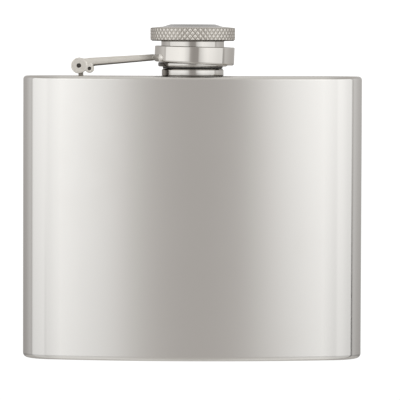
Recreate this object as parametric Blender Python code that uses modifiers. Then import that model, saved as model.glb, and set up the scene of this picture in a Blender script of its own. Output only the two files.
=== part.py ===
"""A four ounce pocket hip flask with a captive screw cap on a hinged lever.

Metres, +Z up. The origin is at the middle of the base. The flask stands on its base plate with
its convex face to -Y and its hollow face to +Y; the lever's hinge is at -X.
"""

from math import asin, cos, floor, pi, radians, sin

import bmesh
import bpy
from mathutils import Vector

# Fits
GAP = 0.0003  # between parts that are welded, pressed or seated together
RUNNING = 0.0001  # round a pin that turns in its bore
STEPS = 48  # facets round a turned part

# Body: a bent stadium in plan, the convex front and hollow back being arcs about one centre
BODY_WIDTH = 0.0950
BODY_HEIGHT = 0.0791
BODY_THICKNESS = 0.0195
FRONT_RADIUS = 0.1700
WALL = 0.0005
PLATE = 0.0012
RIM_ROUND = 0.0010
SPIGOT_DEPTH = 0.0030
SPIGOT_WALL = 0.0006

# Neck, on the body's middle line
NECK_RING_WALL = 0.0013
NECK_RING_HEIGHT = 0.00207
NECK_RING_EDGE = 0.0006
SPOUT_BORE = 0.0062
SPOUT_WALL = 0.00085
SPOUT_HEIGHT = 0.0072
SPOUT_RIM_BEVEL = 0.0002
SHANK_STEP = 0.00035
FOOT_LIP = 0.0007
FOOT_THICKNESS = 0.0005
THREAD_PITCH = 0.0016
THREAD_DEPTH = 0.0004
THREAD_START = 0.0003

# Cap, closed
CREST_CLEARANCE = 0.0003
SLEEVE_THREAD_DEPTH = 0.00035
SLEEVE_WALL = 0.00069
SLEEVE_FOOT_WALL = 0.00025
SLEEVE_CEILING = 0.0008
SLEEVE_LEAD_IN = 0.0005
NECK_GAP = 0.00057  # between the neck ring and the retaining ring
RETAINER_CATCH = 0.00017  # how far the retaining ring reaches under the collar's lip
RETAINER_THICKNESS = 0.0012
RETAINER_TOP_BEVEL = 0.0002
RETAINER_FOOT_BEVEL = 0.0003
HEAD_OVERHANG = 0.00304
HEAD_HEIGHT = 0.00367
HEAD_CHAMFER = 0.00025
BOSS_SET_IN = 0.00373
BOSS_SLOPE_WIDTH = 0.0019
BOSS_BEVEL = 0.0004
BOSS_RISE = 0.00058
GASKET_THICKNESS = 0.0009
GASKET_HOLE = 0.0030

# Collar, which hangs loosely round the sleeve
COLLAR_PLAY = 0.00071
COLLAR_POCKET_PLAY = 0.00083
COLLAR_SKIRT = 0.00065
COLLAR_HEIGHT = 0.00478
COLLAR_LIP = 0.0007
COLLAR_SET = 0.00084  # its foot above the retaining ring's foot
COLLAR_OFFSET = 0.0005
COLLAR_TILT = radians(2.1)
COLLAR_ROUND = 0.0004

# Lever and hinge
HINGE_X = -0.0317
HINGE_HEIGHT = 0.00285
EAR_RADIUS = 0.0021
PIN_RADIUS = 0.00055
CHEEK = 0.0010
SLOT_SPARE = 0.00115
PIN_RECESS = 0.0002
RIVET_X = 0.00295
RIVET_DROP = 0.0008
RIVET_RADIUS = 0.00042
LUG_RADIUS = 0.00115
LUG_SHARE = 0.94  # of the fork's width
ARM_START_LOW = -0.0006  # under and over the hinge's axis, at the rivet
ARM_START_HIGH = 0.0022
ARM_BEND_PLACE = 0.43  # of the way to the collar
ARM_BEND_LOW = 0.6  # of the rise that its underside has made there
ARM_BEND_HIGH = 0.6667  # of the rise that its top has made there
ARM_END_HEIGHT = 0.0017
ARM_END_DROP = 0.00005  # under the yoke's foot
ARM_END_WIDTH = 0.0032
ARM_ROUND = 0.0005
YOKE_THICKNESS = 0.0010
YOKE_HEIGHT = 0.0018
YOKE_SET = 0.00082  # its foot above the collar's foot
YOKE_HALF_ANGLE = radians(40)
EYE_RADIUS = 0.00135
POST_WIDTH = 0.00137
POST_DEPTH = 0.0018
POST_OFFSET = 0.0005

# Worked out from those
MIDDLE_RADIUS = FRONT_RADIUS - BODY_THICKNESS / 2
END_ANGLE = asin((BODY_WIDTH - BODY_THICKNESS) / 2 / MIDDLE_RADIUS)
END_SET_BACK = BODY_THICKNESS / 2 + MIDDLE_RADIUS * (1 - cos(END_ANGLE))
BODY_DEPTH = END_SET_BACK + BODY_THICKNESS / 2
ARC_CENTRE_Y = FRONT_RADIUS - BODY_DEPTH / 2
NECK_Y = (BODY_THICKNESS - BODY_DEPTH) / 2
SHOULDER = BODY_HEIGHT
HINGE_Z = SHOULDER + HINGE_HEIGHT

# The nest of radii, from the bore outwards
SPOUT_ROOT = SPOUT_BORE + SPOUT_WALL
SPOUT_CREST = SPOUT_ROOT + THREAD_DEPTH
SPOUT_SHANK = SPOUT_ROOT - SHANK_STEP
SPOUT_FOOT_RADIUS = SPOUT_SHANK + FOOT_LIP
NECK_RING_RADIUS = SPOUT_ROOT + GAP + NECK_RING_WALL
SLEEVE_CREST = SPOUT_CREST + CREST_CLEARANCE
SLEEVE_ROOT = SLEEVE_CREST + SLEEVE_THREAD_DEPTH
SLEEVE_RADIUS = SLEEVE_ROOT + SLEEVE_WALL
SLEEVE_FOOT_RADIUS = SLEEVE_ROOT + SLEEVE_FOOT_WALL
COLLAR_BORE = SLEEVE_RADIUS + COLLAR_PLAY
RETAINER_RADIUS = COLLAR_BORE + RETAINER_CATCH
COLLAR_POCKET = RETAINER_RADIUS + COLLAR_POCKET_PLAY
COLLAR_RADIUS = COLLAR_POCKET + COLLAR_SKIRT
HEAD_RADIUS = SLEEVE_RADIUS + HEAD_OVERHANG
BOSS_FOOT_RADIUS = HEAD_RADIUS - BOSS_SET_IN
BOSS_TOP_RADIUS = BOSS_FOOT_RADIUS - BOSS_SLOPE_WIDTH

# The stack of heights, from the shoulder up
NECK_RING_TOP = SHOULDER + NECK_RING_HEIGHT
RETAINER_FOOT = NECK_RING_TOP + NECK_GAP
RETAINER_TOP = RETAINER_FOOT + RETAINER_THICKNESS
COLLAR_FOOT = RETAINER_FOOT + COLLAR_SET
YOKE_FOOT = COLLAR_FOOT + YOKE_SET
SPOUT_TOP = SHOULDER + SPOUT_HEIGHT
GASKET_FOOT = SPOUT_TOP + GAP
GASKET_TOP = GASKET_FOOT + GASKET_THICKNESS
SLEEVE_TOP = GASKET_TOP + GAP + SLEEVE_CEILING
HEAD_FOOT = SLEEVE_TOP + GAP

# The fork, from the post outwards
FORK_SLOT = POST_DEPTH + 2 * GAP
FORK_WIDTH = FORK_SLOT + 2 * CHEEK
FORK_SLOT_REACH = EYE_RADIUS + SLOT_SPARE


def clear_scene():
    for item in list(bpy.data.objects):
        bpy.data.objects.remove(item, do_unlink=True)


def new_collection(name):
    made = bpy.data.collections.new(name)
    bpy.context.scene.collection.children.link(made)
    return made


clear_scene()
FLASK = new_collection("hip_flask")
CUTTERS = new_collection("cutters")
CUTTERS.hide_render = True


def metal(name, colour, roughness):
    made = bpy.data.materials.new(name)
    made.use_nodes = True
    shader = made.node_tree.nodes["Principled BSDF"]
    shader.inputs["Base Color"].default_value = (*colour, 1)
    shader.inputs["Metallic"].default_value = 1
    shader.inputs["Roughness"].default_value = roughness
    return made


def rubber(name, colour):
    made = bpy.data.materials.new(name)
    made.use_nodes = True
    shader = made.node_tree.nodes["Principled BSDF"]
    shader.inputs["Base Color"].default_value = (*colour, 1)
    shader.inputs["Roughness"].default_value = 0.6
    return made


def add_part(name, mesh, material, place=(0, 0, 0)):
    """Puts a mesh in the flask's collection as a named part."""
    mesh.name = name
    part = bpy.data.objects.new(name, mesh)
    part.location = place
    mesh.materials.clear()
    mesh.materials.append(material)
    mesh.shade_smooth()
    mesh.set_sharp_from_angle(angle=radians(35))
    FLASK.objects.link(part)
    return part


def mesh_of(shape):
    bmesh.ops.recalc_face_normals(shape, faces=shape.faces)
    if shape.calc_volume(signed=True) < 0:
        bmesh.ops.reverse_faces(shape, faces=shape.faces)
    mesh = bpy.data.meshes.new("shape")
    shape.to_mesh(mesh)
    shape.free()
    return mesh


def add_helper(name, mesh, place=(0, 0, 0)):
    """Puts a mesh among the hidden shapes that are cut from a part or joined to it."""
    helper = bpy.data.objects.new(name, mesh)
    helper.location = place
    helper.hide_render = True
    helper.display_type = "WIRE"
    CUTTERS.objects.link(helper)
    return helper


def boolean(part, helper, operation):
    modifier = part.modifiers.new(operation.lower(), "BOOLEAN")
    modifier.operation = operation
    modifier.solver = "EXACT"
    modifier.object = helper


def cylinder_mesh(radius, length, segments=STEPS, along_y=False):
    shape = bmesh.new()
    bmesh.ops.create_cone(
        shape, cap_ends=True, segments=segments, radius1=radius, radius2=radius, depth=length
    )
    if along_y:
        for vertex in shape.verts:
            vertex.co = Vector((vertex.co.x, vertex.co.z, -vertex.co.y))
    return mesh_of(shape)


def box_mesh(width, depth, height):
    shape = bmesh.new()
    bmesh.ops.create_cube(shape, size=1)
    for vertex in shape.verts:
        vertex.co = Vector((vertex.co.x * width, vertex.co.y * depth, vertex.co.z * height))
    return mesh_of(shape)


def turned(name, profile, material, place=(0, 0, 0)):
    """A part turned from a closed profile of (radius, height) that runs down its outer side."""
    mesh = bpy.data.meshes.new(name)
    points = [(radius, 0, height) for radius, height in profile]
    edges = [(i, (i + 1) % len(points)) for i in range(len(points))]
    mesh.from_pydata(points, edges, [])
    part = bpy.data.objects.new(name, mesh)
    part.location = place
    mesh.materials.append(material)
    FLASK.objects.link(part)
    screw = part.modifiers.new("turn", "SCREW")
    screw.steps = STEPS
    screw.render_steps = STEPS
    screw.use_merge_vertices = True
    screw.merge_threshold = 0.00001
    screw.use_smooth_shade = True
    return part


def ridges(foot, top, root, crest):
    """Profile points of as many turns of thread as fit from foot up to top, drawn as plain rings."""
    points = []
    last_land = 0.1
    for turn in range(floor((top - foot) / THREAD_PITCH + last_land)):
        start = foot + turn * THREAD_PITCH
        points += [
            (root, start),
            (crest, start + THREAD_PITCH * 0.35),
            (crest, start + THREAD_PITCH * 0.55),
            (root, start + THREAD_PITCH * 0.9),
        ]
    return points


# ---- Body


def body_outline(inset):
    """The body's plan, moved in by the inset, as points that go round anticlockwise."""
    points = []
    arcs, ends = 24, 20
    front = FRONT_RADIUS - inset
    back = FRONT_RADIUS - BODY_THICKNESS + inset
    end = BODY_THICKNESS / 2 - inset
    for i in range(arcs):
        angle = END_ANGLE * (2 * i / arcs - 1)
        points.append((front * sin(angle), ARC_CENTRE_Y - front * cos(angle)))
    for i in range(ends):
        angle = END_ANGLE + pi * i / ends
        x = MIDDLE_RADIUS * sin(END_ANGLE) + end * sin(angle)
        y = ARC_CENTRE_Y - MIDDLE_RADIUS * cos(END_ANGLE) - end * cos(angle)
        points.append((x, y))
    for i in range(arcs):
        angle = END_ANGLE * (1 - 2 * i / arcs)
        points.append((back * sin(angle), ARC_CENTRE_Y - back * cos(angle)))
    for i in range(ends):
        angle = pi - END_ANGLE + pi * i / ends
        x = -MIDDLE_RADIUS * sin(END_ANGLE) + end * sin(angle)
        y = ARC_CENTRE_Y - MIDDLE_RADIUS * cos(END_ANGLE) - end * cos(angle)
        points.append((x, y))
    return points


def stacked(levels, closed_ends):
    """A skin through copies of the body's plan, each an (inset, height), in order."""
    shape = bmesh.new()
    rings = []
    for inset, height in levels:
        rings.append([shape.verts.new((x, y, height)) for x, y in body_outline(inset)])
    for lower, upper in zip(rings, rings[1:]):
        for i in range(len(lower)):
            shape.faces.new((lower[i - 1], lower[i], upper[i], upper[i - 1]))
    if closed_ends:
        shape.faces.new(rings[0])
        shape.faces.new(rings[-1])
    return mesh_of(shape)


def body_wrap(material):
    """The rolled and seam-welded band that makes the front, ends and back."""
    foot = RIM_ROUND + 2 * GAP
    mesh = stacked([(0, foot), (0, BODY_HEIGHT - foot)], closed_ends=False)
    wrap = add_part("body_wrap", mesh, material)
    solidify = wrap.modifiers.new("sheet", "SOLIDIFY")
    solidify.thickness = WALL
    solidify.offset = -1
    solidify.use_even_offset = True
    return wrap


def pressed_plate(name, material, face, inwards):
    """An end plate: flat face, rolled edge, and a turned-in spigot that locates in the band."""
    levels = []
    for i in range(5):
        angle = pi / 2 * i / 4
        levels.append((RIM_ROUND * (1 - sin(angle)), RIM_ROUND * (1 - cos(angle))))
    rim_foot = RIM_ROUND + GAP
    spigot = WALL + GAP
    levels += [
        (0, rim_foot),
        (spigot, rim_foot),
        (spigot, SPIGOT_DEPTH),
        (spigot + SPIGOT_WALL, SPIGOT_DEPTH),
        (spigot + SPIGOT_WALL, PLATE),
    ]
    placed = [(inset, face + inwards * depth) for inset, depth in levels]
    return add_part(name, stacked(placed, closed_ends=True), material)


def shoulder_plate(material):
    plate = pressed_plate("shoulder_plate", material, SHOULDER, -1)
    hole = cylinder_mesh(SPOUT_SHANK + GAP, 4 * PLATE)
    boolean(plate, add_helper("neck_hole", hole, (0, NECK_Y, SHOULDER)), "DIFFERENCE")
    room = cylinder_mesh(SPOUT_FOOT_RADIUS + GAP, SPIGOT_DEPTH)
    room_middle = SHOULDER - PLATE - GAP / 2 - SPIGOT_DEPTH / 2
    boolean(plate, add_helper("foot_room", room, (0, NECK_Y, room_middle)), "DIFFERENCE")
    return plate


# ---- Neck


def neck_ring(material):
    """The plain step round the spout's root."""
    foot = SHOULDER + GAP
    bore = SPOUT_ROOT + GAP
    mid_edge = NECK_RING_EDGE / 3
    profile = [
        (bore, NECK_RING_TOP),
        (NECK_RING_RADIUS - NECK_RING_EDGE, NECK_RING_TOP),
        (NECK_RING_RADIUS - mid_edge, NECK_RING_TOP - mid_edge),
        (NECK_RING_RADIUS, NECK_RING_TOP - NECK_RING_EDGE),
        (NECK_RING_RADIUS, foot),
        (bore, foot),
    ]
    return turned("neck_ring", profile, material, (0, NECK_Y, 0))


def neck_spout(material):
    """The threaded spout, with a foot flange that is welded under the shoulder."""
    under = SHOULDER - PLATE - GAP
    thread_foot = NECK_RING_TOP + THREAD_START
    profile = [(SPOUT_BORE + SPOUT_RIM_BEVEL, SPOUT_TOP), (SPOUT_ROOT - SPOUT_RIM_BEVEL, SPOUT_TOP)]
    profile += ridges(thread_foot, SPOUT_TOP, SPOUT_ROOT, SPOUT_CREST)[::-1]
    profile += [
        (SPOUT_ROOT, SHOULDER + GAP),
        (SPOUT_SHANK, SHOULDER + GAP),
        (SPOUT_SHANK, under),
        (SPOUT_FOOT_RADIUS, under),
        (SPOUT_FOOT_RADIUS, under - FOOT_THICKNESS),
        (SPOUT_BORE, under - FOOT_THICKNESS),
        (SPOUT_BORE, SPOUT_TOP - SPOUT_RIM_BEVEL),
    ]
    return turned("neck_spout", profile, material, (0, NECK_Y, 0))


# ---- Cap


def cap_head(material):
    """The knurled finger grip with its raised centre. The knurl is drawn as a plain round."""
    foot = HEAD_FOOT
    top = foot + HEAD_HEIGHT
    boss = top + BOSS_BEVEL
    profile = [
        (0, boss + BOSS_RISE),
        (BOSS_TOP_RADIUS, boss + BOSS_RISE),
        (BOSS_FOOT_RADIUS, boss),
        (HEAD_RADIUS - HEAD_CHAMFER, top),
        (HEAD_RADIUS, top - HEAD_CHAMFER),
        (HEAD_RADIUS, foot + HEAD_CHAMFER),
        (HEAD_RADIUS - HEAD_CHAMFER, foot),
        (0, foot),
    ]
    return turned("cap_head", profile, material, (0, NECK_Y, 0))


def cap_sleeve(material):
    """The threaded cup under the head, stepped in at its foot for the retaining ring."""
    foot = RETAINER_FOOT + GAP
    step = RETAINER_TOP + GAP
    ceiling = GASKET_TOP + GAP
    thread_foot = step - SLEEVE_LEAD_IN / 5
    profile = [
        (0, SLEEVE_TOP),
        (SLEEVE_RADIUS, SLEEVE_TOP),
        (SLEEVE_RADIUS, step),
        (SLEEVE_FOOT_RADIUS, step),
        (SLEEVE_FOOT_RADIUS, foot),
        (SLEEVE_CREST, foot),
        (SLEEVE_CREST, step - SLEEVE_LEAD_IN),
    ]
    profile += ridges(thread_foot, GASKET_FOOT - GAP, SLEEVE_ROOT, SLEEVE_CREST)
    profile += [(SLEEVE_ROOT, ceiling), (0, ceiling)]
    return turned("cap_sleeve", profile, material, (0, NECK_Y, 0))


def cap_retaining_ring(material):
    """The ring pressed on the sleeve's foot, which keeps the collar from coming off."""
    bore = SLEEVE_FOOT_RADIUS + GAP
    profile = [
        (bore, RETAINER_TOP),
        (RETAINER_RADIUS - RETAINER_TOP_BEVEL, RETAINER_TOP),
        (RETAINER_RADIUS, RETAINER_TOP - RETAINER_TOP_BEVEL),
        (RETAINER_RADIUS, RETAINER_FOOT + RETAINER_FOOT_BEVEL),
        (RETAINER_RADIUS - RETAINER_FOOT_BEVEL, RETAINER_FOOT),
        (bore, RETAINER_FOOT),
    ]
    return turned("cap_retaining_ring", profile, material, (0, NECK_Y, 0))


def cap_gasket(material):
    """The soft washer under the sleeve's ceiling that seals on the spout's rim."""
    edge = SLEEVE_ROOT - GAP
    profile = [
        (GASKET_HOLE, GASKET_TOP),
        (edge, GASKET_TOP),
        (edge, GASKET_FOOT),
        (GASKET_HOLE, GASKET_FOOT),
    ]
    return turned("cap_gasket", profile, material, (0, NECK_Y, 0))


# ---- Collar and lever


def collar_ring(material):
    """The captive collar: a lip at the top, and a pocket the retaining ring can rise in."""
    half = COLLAR_HEIGHT / 2
    mid_round = COLLAR_ROUND * (1 - cos(pi / 4))
    profile = [
        (COLLAR_BORE, half),
        (COLLAR_RADIUS - COLLAR_ROUND, half),
        (COLLAR_RADIUS - mid_round, half - mid_round),
        (COLLAR_RADIUS, half - COLLAR_ROUND),
        (COLLAR_RADIUS, COLLAR_ROUND - half),
        (COLLAR_RADIUS - mid_round, mid_round - half),
        (COLLAR_RADIUS - COLLAR_ROUND, -half),
        (COLLAR_POCKET, -half),
        (COLLAR_POCKET, half - COLLAR_LIP),
        (COLLAR_BORE, half - COLLAR_LIP),
    ]
    middle = (COLLAR_OFFSET, NECK_Y, COLLAR_FOOT + half)
    collar = turned("collar_ring", profile, material, middle)
    collar.rotation_euler.y = COLLAR_TILT
    return collar


def arm_bar():
    """The lever's bar: a side view drawn out across its width, narrower towards the collar."""
    reach = COLLAR_OFFSET - COLLAR_RADIUS - GAP - HINGE_X
    inside_yoke = reach - YOKE_THICKNESS / 5
    bend = ARM_BEND_PLACE * reach
    end_low = YOKE_FOOT - ARM_END_DROP - HINGE_Z
    end_high = end_low + ARM_END_HEIGHT
    side = [
        (0, -EAR_RADIUS / 2),
        (RIVET_X, ARM_START_LOW),
        (bend, ARM_START_LOW + ARM_BEND_LOW * (end_low - ARM_START_LOW)),
        (inside_yoke, end_low),
        (inside_yoke, end_high),
        (bend, ARM_START_HIGH + ARM_BEND_HIGH * (end_high - ARM_START_HIGH)),
        (RIVET_X, ARM_START_HIGH),
        (0, EAR_RADIUS * 0.97),
    ]
    shape = bmesh.new()
    corners = [shape.verts.new((x, -0.5, z)) for x, z in side]
    face = shape.faces.new(corners)
    far = bmesh.ops.extrude_face_region(shape, geom=[face])["geom"]
    bmesh.ops.translate(
        shape, verts=[item for item in far if isinstance(item, bmesh.types.BMVert)], vec=(0, 1, 0)
    )
    for vertex in shape.verts:
        along = vertex.co.x / reach
        vertex.co.y *= FORK_WIDTH + (ARM_END_WIDTH - FORK_WIDTH) * along
    return mesh_of(shape)


def yoke():
    """The curved pad at the lever's end that is brazed round the collar's flank."""
    inner = COLLAR_RADIUS + GAP
    shape = bmesh.new()
    pieces = 10
    outline = []
    for radius, turns in ((inner, range(pieces + 1)), (inner + YOKE_THICKNESS, range(pieces, -1, -1))):
        for i in turns:
            angle = pi + YOKE_HALF_ANGLE * (2 * i / pieces - 1)
            outline.append((radius * cos(angle), radius * sin(angle)))
    face = shape.faces.new([shape.verts.new((x, y, 0)) for x, y in outline])
    top = bmesh.ops.extrude_face_region(shape, geom=[face])["geom"]
    bmesh.ops.translate(
        shape,
        verts=[item for item in top if isinstance(item, bmesh.types.BMVert)],
        vec=(0, 0, YOKE_HEIGHT),
    )
    return mesh_of(shape)


def lever_arm(material):
    """The forked lever, with its origin on the hinge's axis."""
    hinge = Vector((HINGE_X, NECK_Y, HINGE_Z))
    rivet = hinge + Vector((RIVET_X, 0, -RIVET_DROP))
    arm = add_part("lever_arm", arm_bar(), material, hinge)
    bevel = arm.modifiers.new("round", "BEVEL")
    bevel.width = ARM_ROUND
    bevel.segments = 2
    bevel.limit_method = "ANGLE"
    bevel.angle_limit = radians(60)
    ear = cylinder_mesh(EAR_RADIUS, FORK_WIDTH, 40, along_y=True)
    boolean(arm, add_helper("ear", ear, hinge), "UNION")
    lug = cylinder_mesh(LUG_RADIUS, FORK_WIDTH * LUG_SHARE, 28, along_y=True)
    boolean(arm, add_helper("lug", lug, rivet), "UNION")
    pad = add_helper("yoke", yoke(), (COLLAR_OFFSET, NECK_Y, YOKE_FOOT))
    boolean(arm, pad, "UNION")
    slot = box_mesh(FORK_SLOT_REACH + 2 * EAR_RADIUS, FORK_SLOT, 4 * EAR_RADIUS)
    middle = hinge + Vector((FORK_SLOT_REACH / 2 - EAR_RADIUS, 0, 0))
    boolean(arm, add_helper("fork_slot", slot, middle), "DIFFERENCE")
    bore = cylinder_mesh(PIN_RADIUS + RUNNING, 2 * FORK_WIDTH, 24, along_y=True)
    boolean(arm, add_helper("hinge_bore", bore, hinge), "DIFFERENCE")
    hole = cylinder_mesh(RIVET_RADIUS + RUNNING, 2 * FORK_WIDTH, 20, along_y=True)
    boolean(arm, add_helper("rivet_hole", hole, rivet), "DIFFERENCE")
    return arm


def cross_pin(name, radius, length, place, material):
    mesh = cylinder_mesh(radius, length, 24, along_y=True)
    return add_part(name, mesh, material, place)


def hinge_post(material):
    """The post welded to the shoulder, with the eye that the hinge pin goes through."""
    hinge = Vector((HINGE_X, NECK_Y, HINGE_Z))
    foot = SHOULDER + GAP
    stem = box_mesh(POST_WIDTH, POST_DEPTH, HINGE_Z - foot)
    middle = hinge + Vector((POST_OFFSET, 0, (foot - HINGE_Z) / 2))
    post = add_part("hinge_post", stem, material, middle)
    eye = cylinder_mesh(EYE_RADIUS, POST_DEPTH, 32, along_y=True)
    boolean(post, add_helper("eye", eye, hinge), "UNION")
    bore = cylinder_mesh(PIN_RADIUS + RUNNING, 2 * POST_DEPTH, 24, along_y=True)
    boolean(post, add_helper("eye_bore", bore, hinge), "DIFFERENCE")
    return post


def build():
    mirror_steel = metal("mirror_steel", (0.72, 0.70, 0.68), 0.06)
    turned_steel = metal("turned_steel", (0.68, 0.66, 0.63), 0.12)
    cast_nickel = metal("cast_nickel", (0.66, 0.62, 0.56), 0.28)
    knurled_steel = metal("knurled_steel", (0.60, 0.57, 0.53), 0.25)
    dark_steel = metal("dark_steel", (0.20, 0.19, 0.18), 0.40)
    silicone = rubber("silicone", (0.75, 0.75, 0.72))
    body_wrap(mirror_steel)
    pressed_plate("base_plate", mirror_steel, 0, 1)
    shoulder_plate(mirror_steel)
    neck_ring(turned_steel)
    neck_spout(turned_steel)
    hinge_post(cast_nickel)
    hinge = Vector((HINGE_X, NECK_Y, HINGE_Z))
    pin_length = FORK_WIDTH - 2 * PIN_RECESS
    cross_pin("hinge_pin", PIN_RADIUS, pin_length, hinge, dark_steel)
    lever_arm(cast_nickel)
    rivet = hinge + Vector((RIVET_X, 0, -RIVET_DROP))
    cross_pin("fork_rivet", RIVET_RADIUS, pin_length, rivet, dark_steel)
    collar_ring(turned_steel)
    cap_gasket(silicone)
    cap_sleeve(turned_steel)
    cap_retaining_ring(turned_steel)
    cap_head(knurled_steel)


build()
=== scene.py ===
"""The looks of a four ounce pocket hip flask of polished steel, with its cap held on a lever."""

from math import acos, asin, atan2, cos, pi, radians, sin, tan

import bmesh
import bpy
from mathutils import Matrix, Vector


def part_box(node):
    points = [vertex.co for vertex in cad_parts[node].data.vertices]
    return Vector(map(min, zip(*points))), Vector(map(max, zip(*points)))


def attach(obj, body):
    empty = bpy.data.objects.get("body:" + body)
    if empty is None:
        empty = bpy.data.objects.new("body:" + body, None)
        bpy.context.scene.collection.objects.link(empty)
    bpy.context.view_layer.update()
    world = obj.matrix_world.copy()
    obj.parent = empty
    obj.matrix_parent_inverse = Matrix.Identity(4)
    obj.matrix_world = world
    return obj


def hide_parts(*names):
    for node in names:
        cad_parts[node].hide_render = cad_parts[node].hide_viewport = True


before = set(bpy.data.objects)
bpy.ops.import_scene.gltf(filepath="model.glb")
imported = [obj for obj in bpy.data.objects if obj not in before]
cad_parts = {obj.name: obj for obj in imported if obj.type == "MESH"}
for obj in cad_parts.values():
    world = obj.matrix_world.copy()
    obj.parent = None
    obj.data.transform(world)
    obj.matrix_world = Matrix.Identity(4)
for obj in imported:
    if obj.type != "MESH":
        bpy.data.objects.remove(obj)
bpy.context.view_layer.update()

# The polish. Buffed stainless steel is never evenly bright: the mop leaves it a little more or
# less sharp from place to place, and handling leaves faint smears. Every steel piece of the
# flask carries this, so it is one shader group with its own amounts in each material.


def new_group(name, takes, gives):
    """A shader group with its sockets, each colour or number named, and its two end nodes."""
    group = bpy.data.node_groups.new(name, "ShaderNodeTree")
    for direction, sockets in (("INPUT", takes), ("OUTPUT", gives)):
        for socket in sockets:
            kind = "NodeSocketColor" if "Colour" in socket else "NodeSocketFloat"
            group.interface.new_socket(socket, in_out=direction, socket_type=kind)
    return group, group.nodes.new("NodeGroupInput"), group.nodes.new("NodeGroupOutput")


def add_node(tree, kind, label, links=(), **values):
    """Adds a labelled node, sets its properties and fixed inputs, and links its other inputs."""
    made = tree.nodes.new("ShaderNode" + kind)
    made.label = label
    for name, value in values.items():
        setattr(made, name, value)
    for socket, source in dict(links).items():
        if isinstance(source, bpy.types.NodeSocket):
            tree.links.new(source, made.inputs[socket])
        else:
            made.inputs[socket].default_value = source
    return made


polish, inside, outside = new_group(
    "buffed_steel",
    ("Colour", "Tarnish Colour", "Roughness", "Unevenness", "Patch Size"),
    ("Colour", "Roughness", "Height"),
)
place = add_node(polish, "TexCoord", "place on the piece")
frequency = add_node(
    polish, "Math", "patches a metre", {0: 1.0, 1: inside.outputs["Patch Size"]}, operation="DIVIDE"
)
patches = add_node(
    polish,
    "TexNoise",
    "where the mop dwelt",
    {"Vector": place.outputs["Object"], "Scale": frequency.outputs[0], "Detail": 4.0, "Roughness": 0.55},
)
specks = add_node(
    polish, "TexNoise", "fine grain", {"Vector": place.outputs["Object"], "Scale": 2600.0, "Detail": 2.0}
)
swing = add_node(
    polish,
    "MapRange",
    "patch to swing",
    {"Value": patches.outputs["Fac"], "From Min": 0.3, "From Max": 0.7, "To Min": -1.0, "To Max": 1.0},
)
amount = add_node(
    polish, "Math", "swing in sharpness",
    {0: swing.outputs[0], 1: inside.outputs["Unevenness"]}, operation="MULTIPLY"
)
uneven = add_node(
    polish, "Math", "sharpness",
    {0: inside.outputs["Roughness"], 1: amount.outputs[0]}, operation="ADD", use_clamp=True
)
smear = add_node(
    polish,
    "MapRange",
    "faint smears",
    {"Value": patches.outputs["Fac"], "From Min": 0.55, "From Max": 0.85, "To Min": 0.0, "To Max": 0.5},
)
tone = add_node(
    polish,
    "Mix",
    "steel and smear",
    {
        0: smear.outputs[0],
        6: inside.outputs["Colour"],
        7: inside.outputs["Tarnish Colour"],
    },
    data_type="RGBA",
)
polish.links.new(tone.outputs[2], outside.inputs["Colour"])
polish.links.new(uneven.outputs[0], outside.inputs["Roughness"])
polish.links.new(specks.outputs["Fac"], outside.inputs["Height"])


# Painted corner shade. The mop can't reach down into a corner, so the metal there stays rough from
# brazing or turning, and it is painted dark there as painted shade. The mask is 1 at the corner's
# height and fades over the reach.
corner_shade_painted, inside, outside = new_group("corner_shade_painted", ("Height", "Reach"), ("Mask",))
place = add_node(corner_shade_painted, "TexCoord", "place on the piece")
parts = add_node(corner_shade_painted, "SeparateXYZ", "its height", {0: place.outputs["Object"]})
away = add_node(
    corner_shade_painted, "Math", "height past the corner", {0: parts.outputs["Z"], 1: inside.outputs["Height"]},
    operation="SUBTRACT",
)
distance = add_node(corner_shade_painted, "Math", "distance", {0: away.outputs[0]}, operation="ABSOLUTE")
ragged = add_node(
    corner_shade_painted, "TexNoise", "ragged edge", {"Vector": place.outputs["Object"], "Scale": 700.0, "Detail": 2.0}
)
edge_reach = add_node(
    corner_shade_painted,
    "MapRange",
    "ragged reach",
    {"Value": ragged.outputs["Fac"], "To Min": 0.7, "To Max": 1.3},
)
reach = add_node(
    corner_shade_painted, "Math", "reach here",
    {0: edge_reach.outputs[0], 1: inside.outputs["Reach"]}, operation="MULTIPLY"
)
fade = add_node(
    corner_shade_painted,
    "MapRange",
    "fades away",
    {"Value": distance.outputs[0], "From Min": 0.0, "From Max": reach.outputs[0],
     "To Min": 1.0, "To Max": 0.0},
    interpolation_type="SMOOTHSTEP",
)
corner_shade_painted.links.new(fade.outputs[0], outside.inputs["Mask"])


def use_group(tree, group, **values):
    """Puts a group in a material, with a value for each input, its name written_like_this."""
    made = tree.nodes.new("ShaderNodeGroup")
    made.node_tree = group
    for name, value in values.items():
        made.inputs[name.replace("_", " ").title()].default_value = value
    return made


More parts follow.
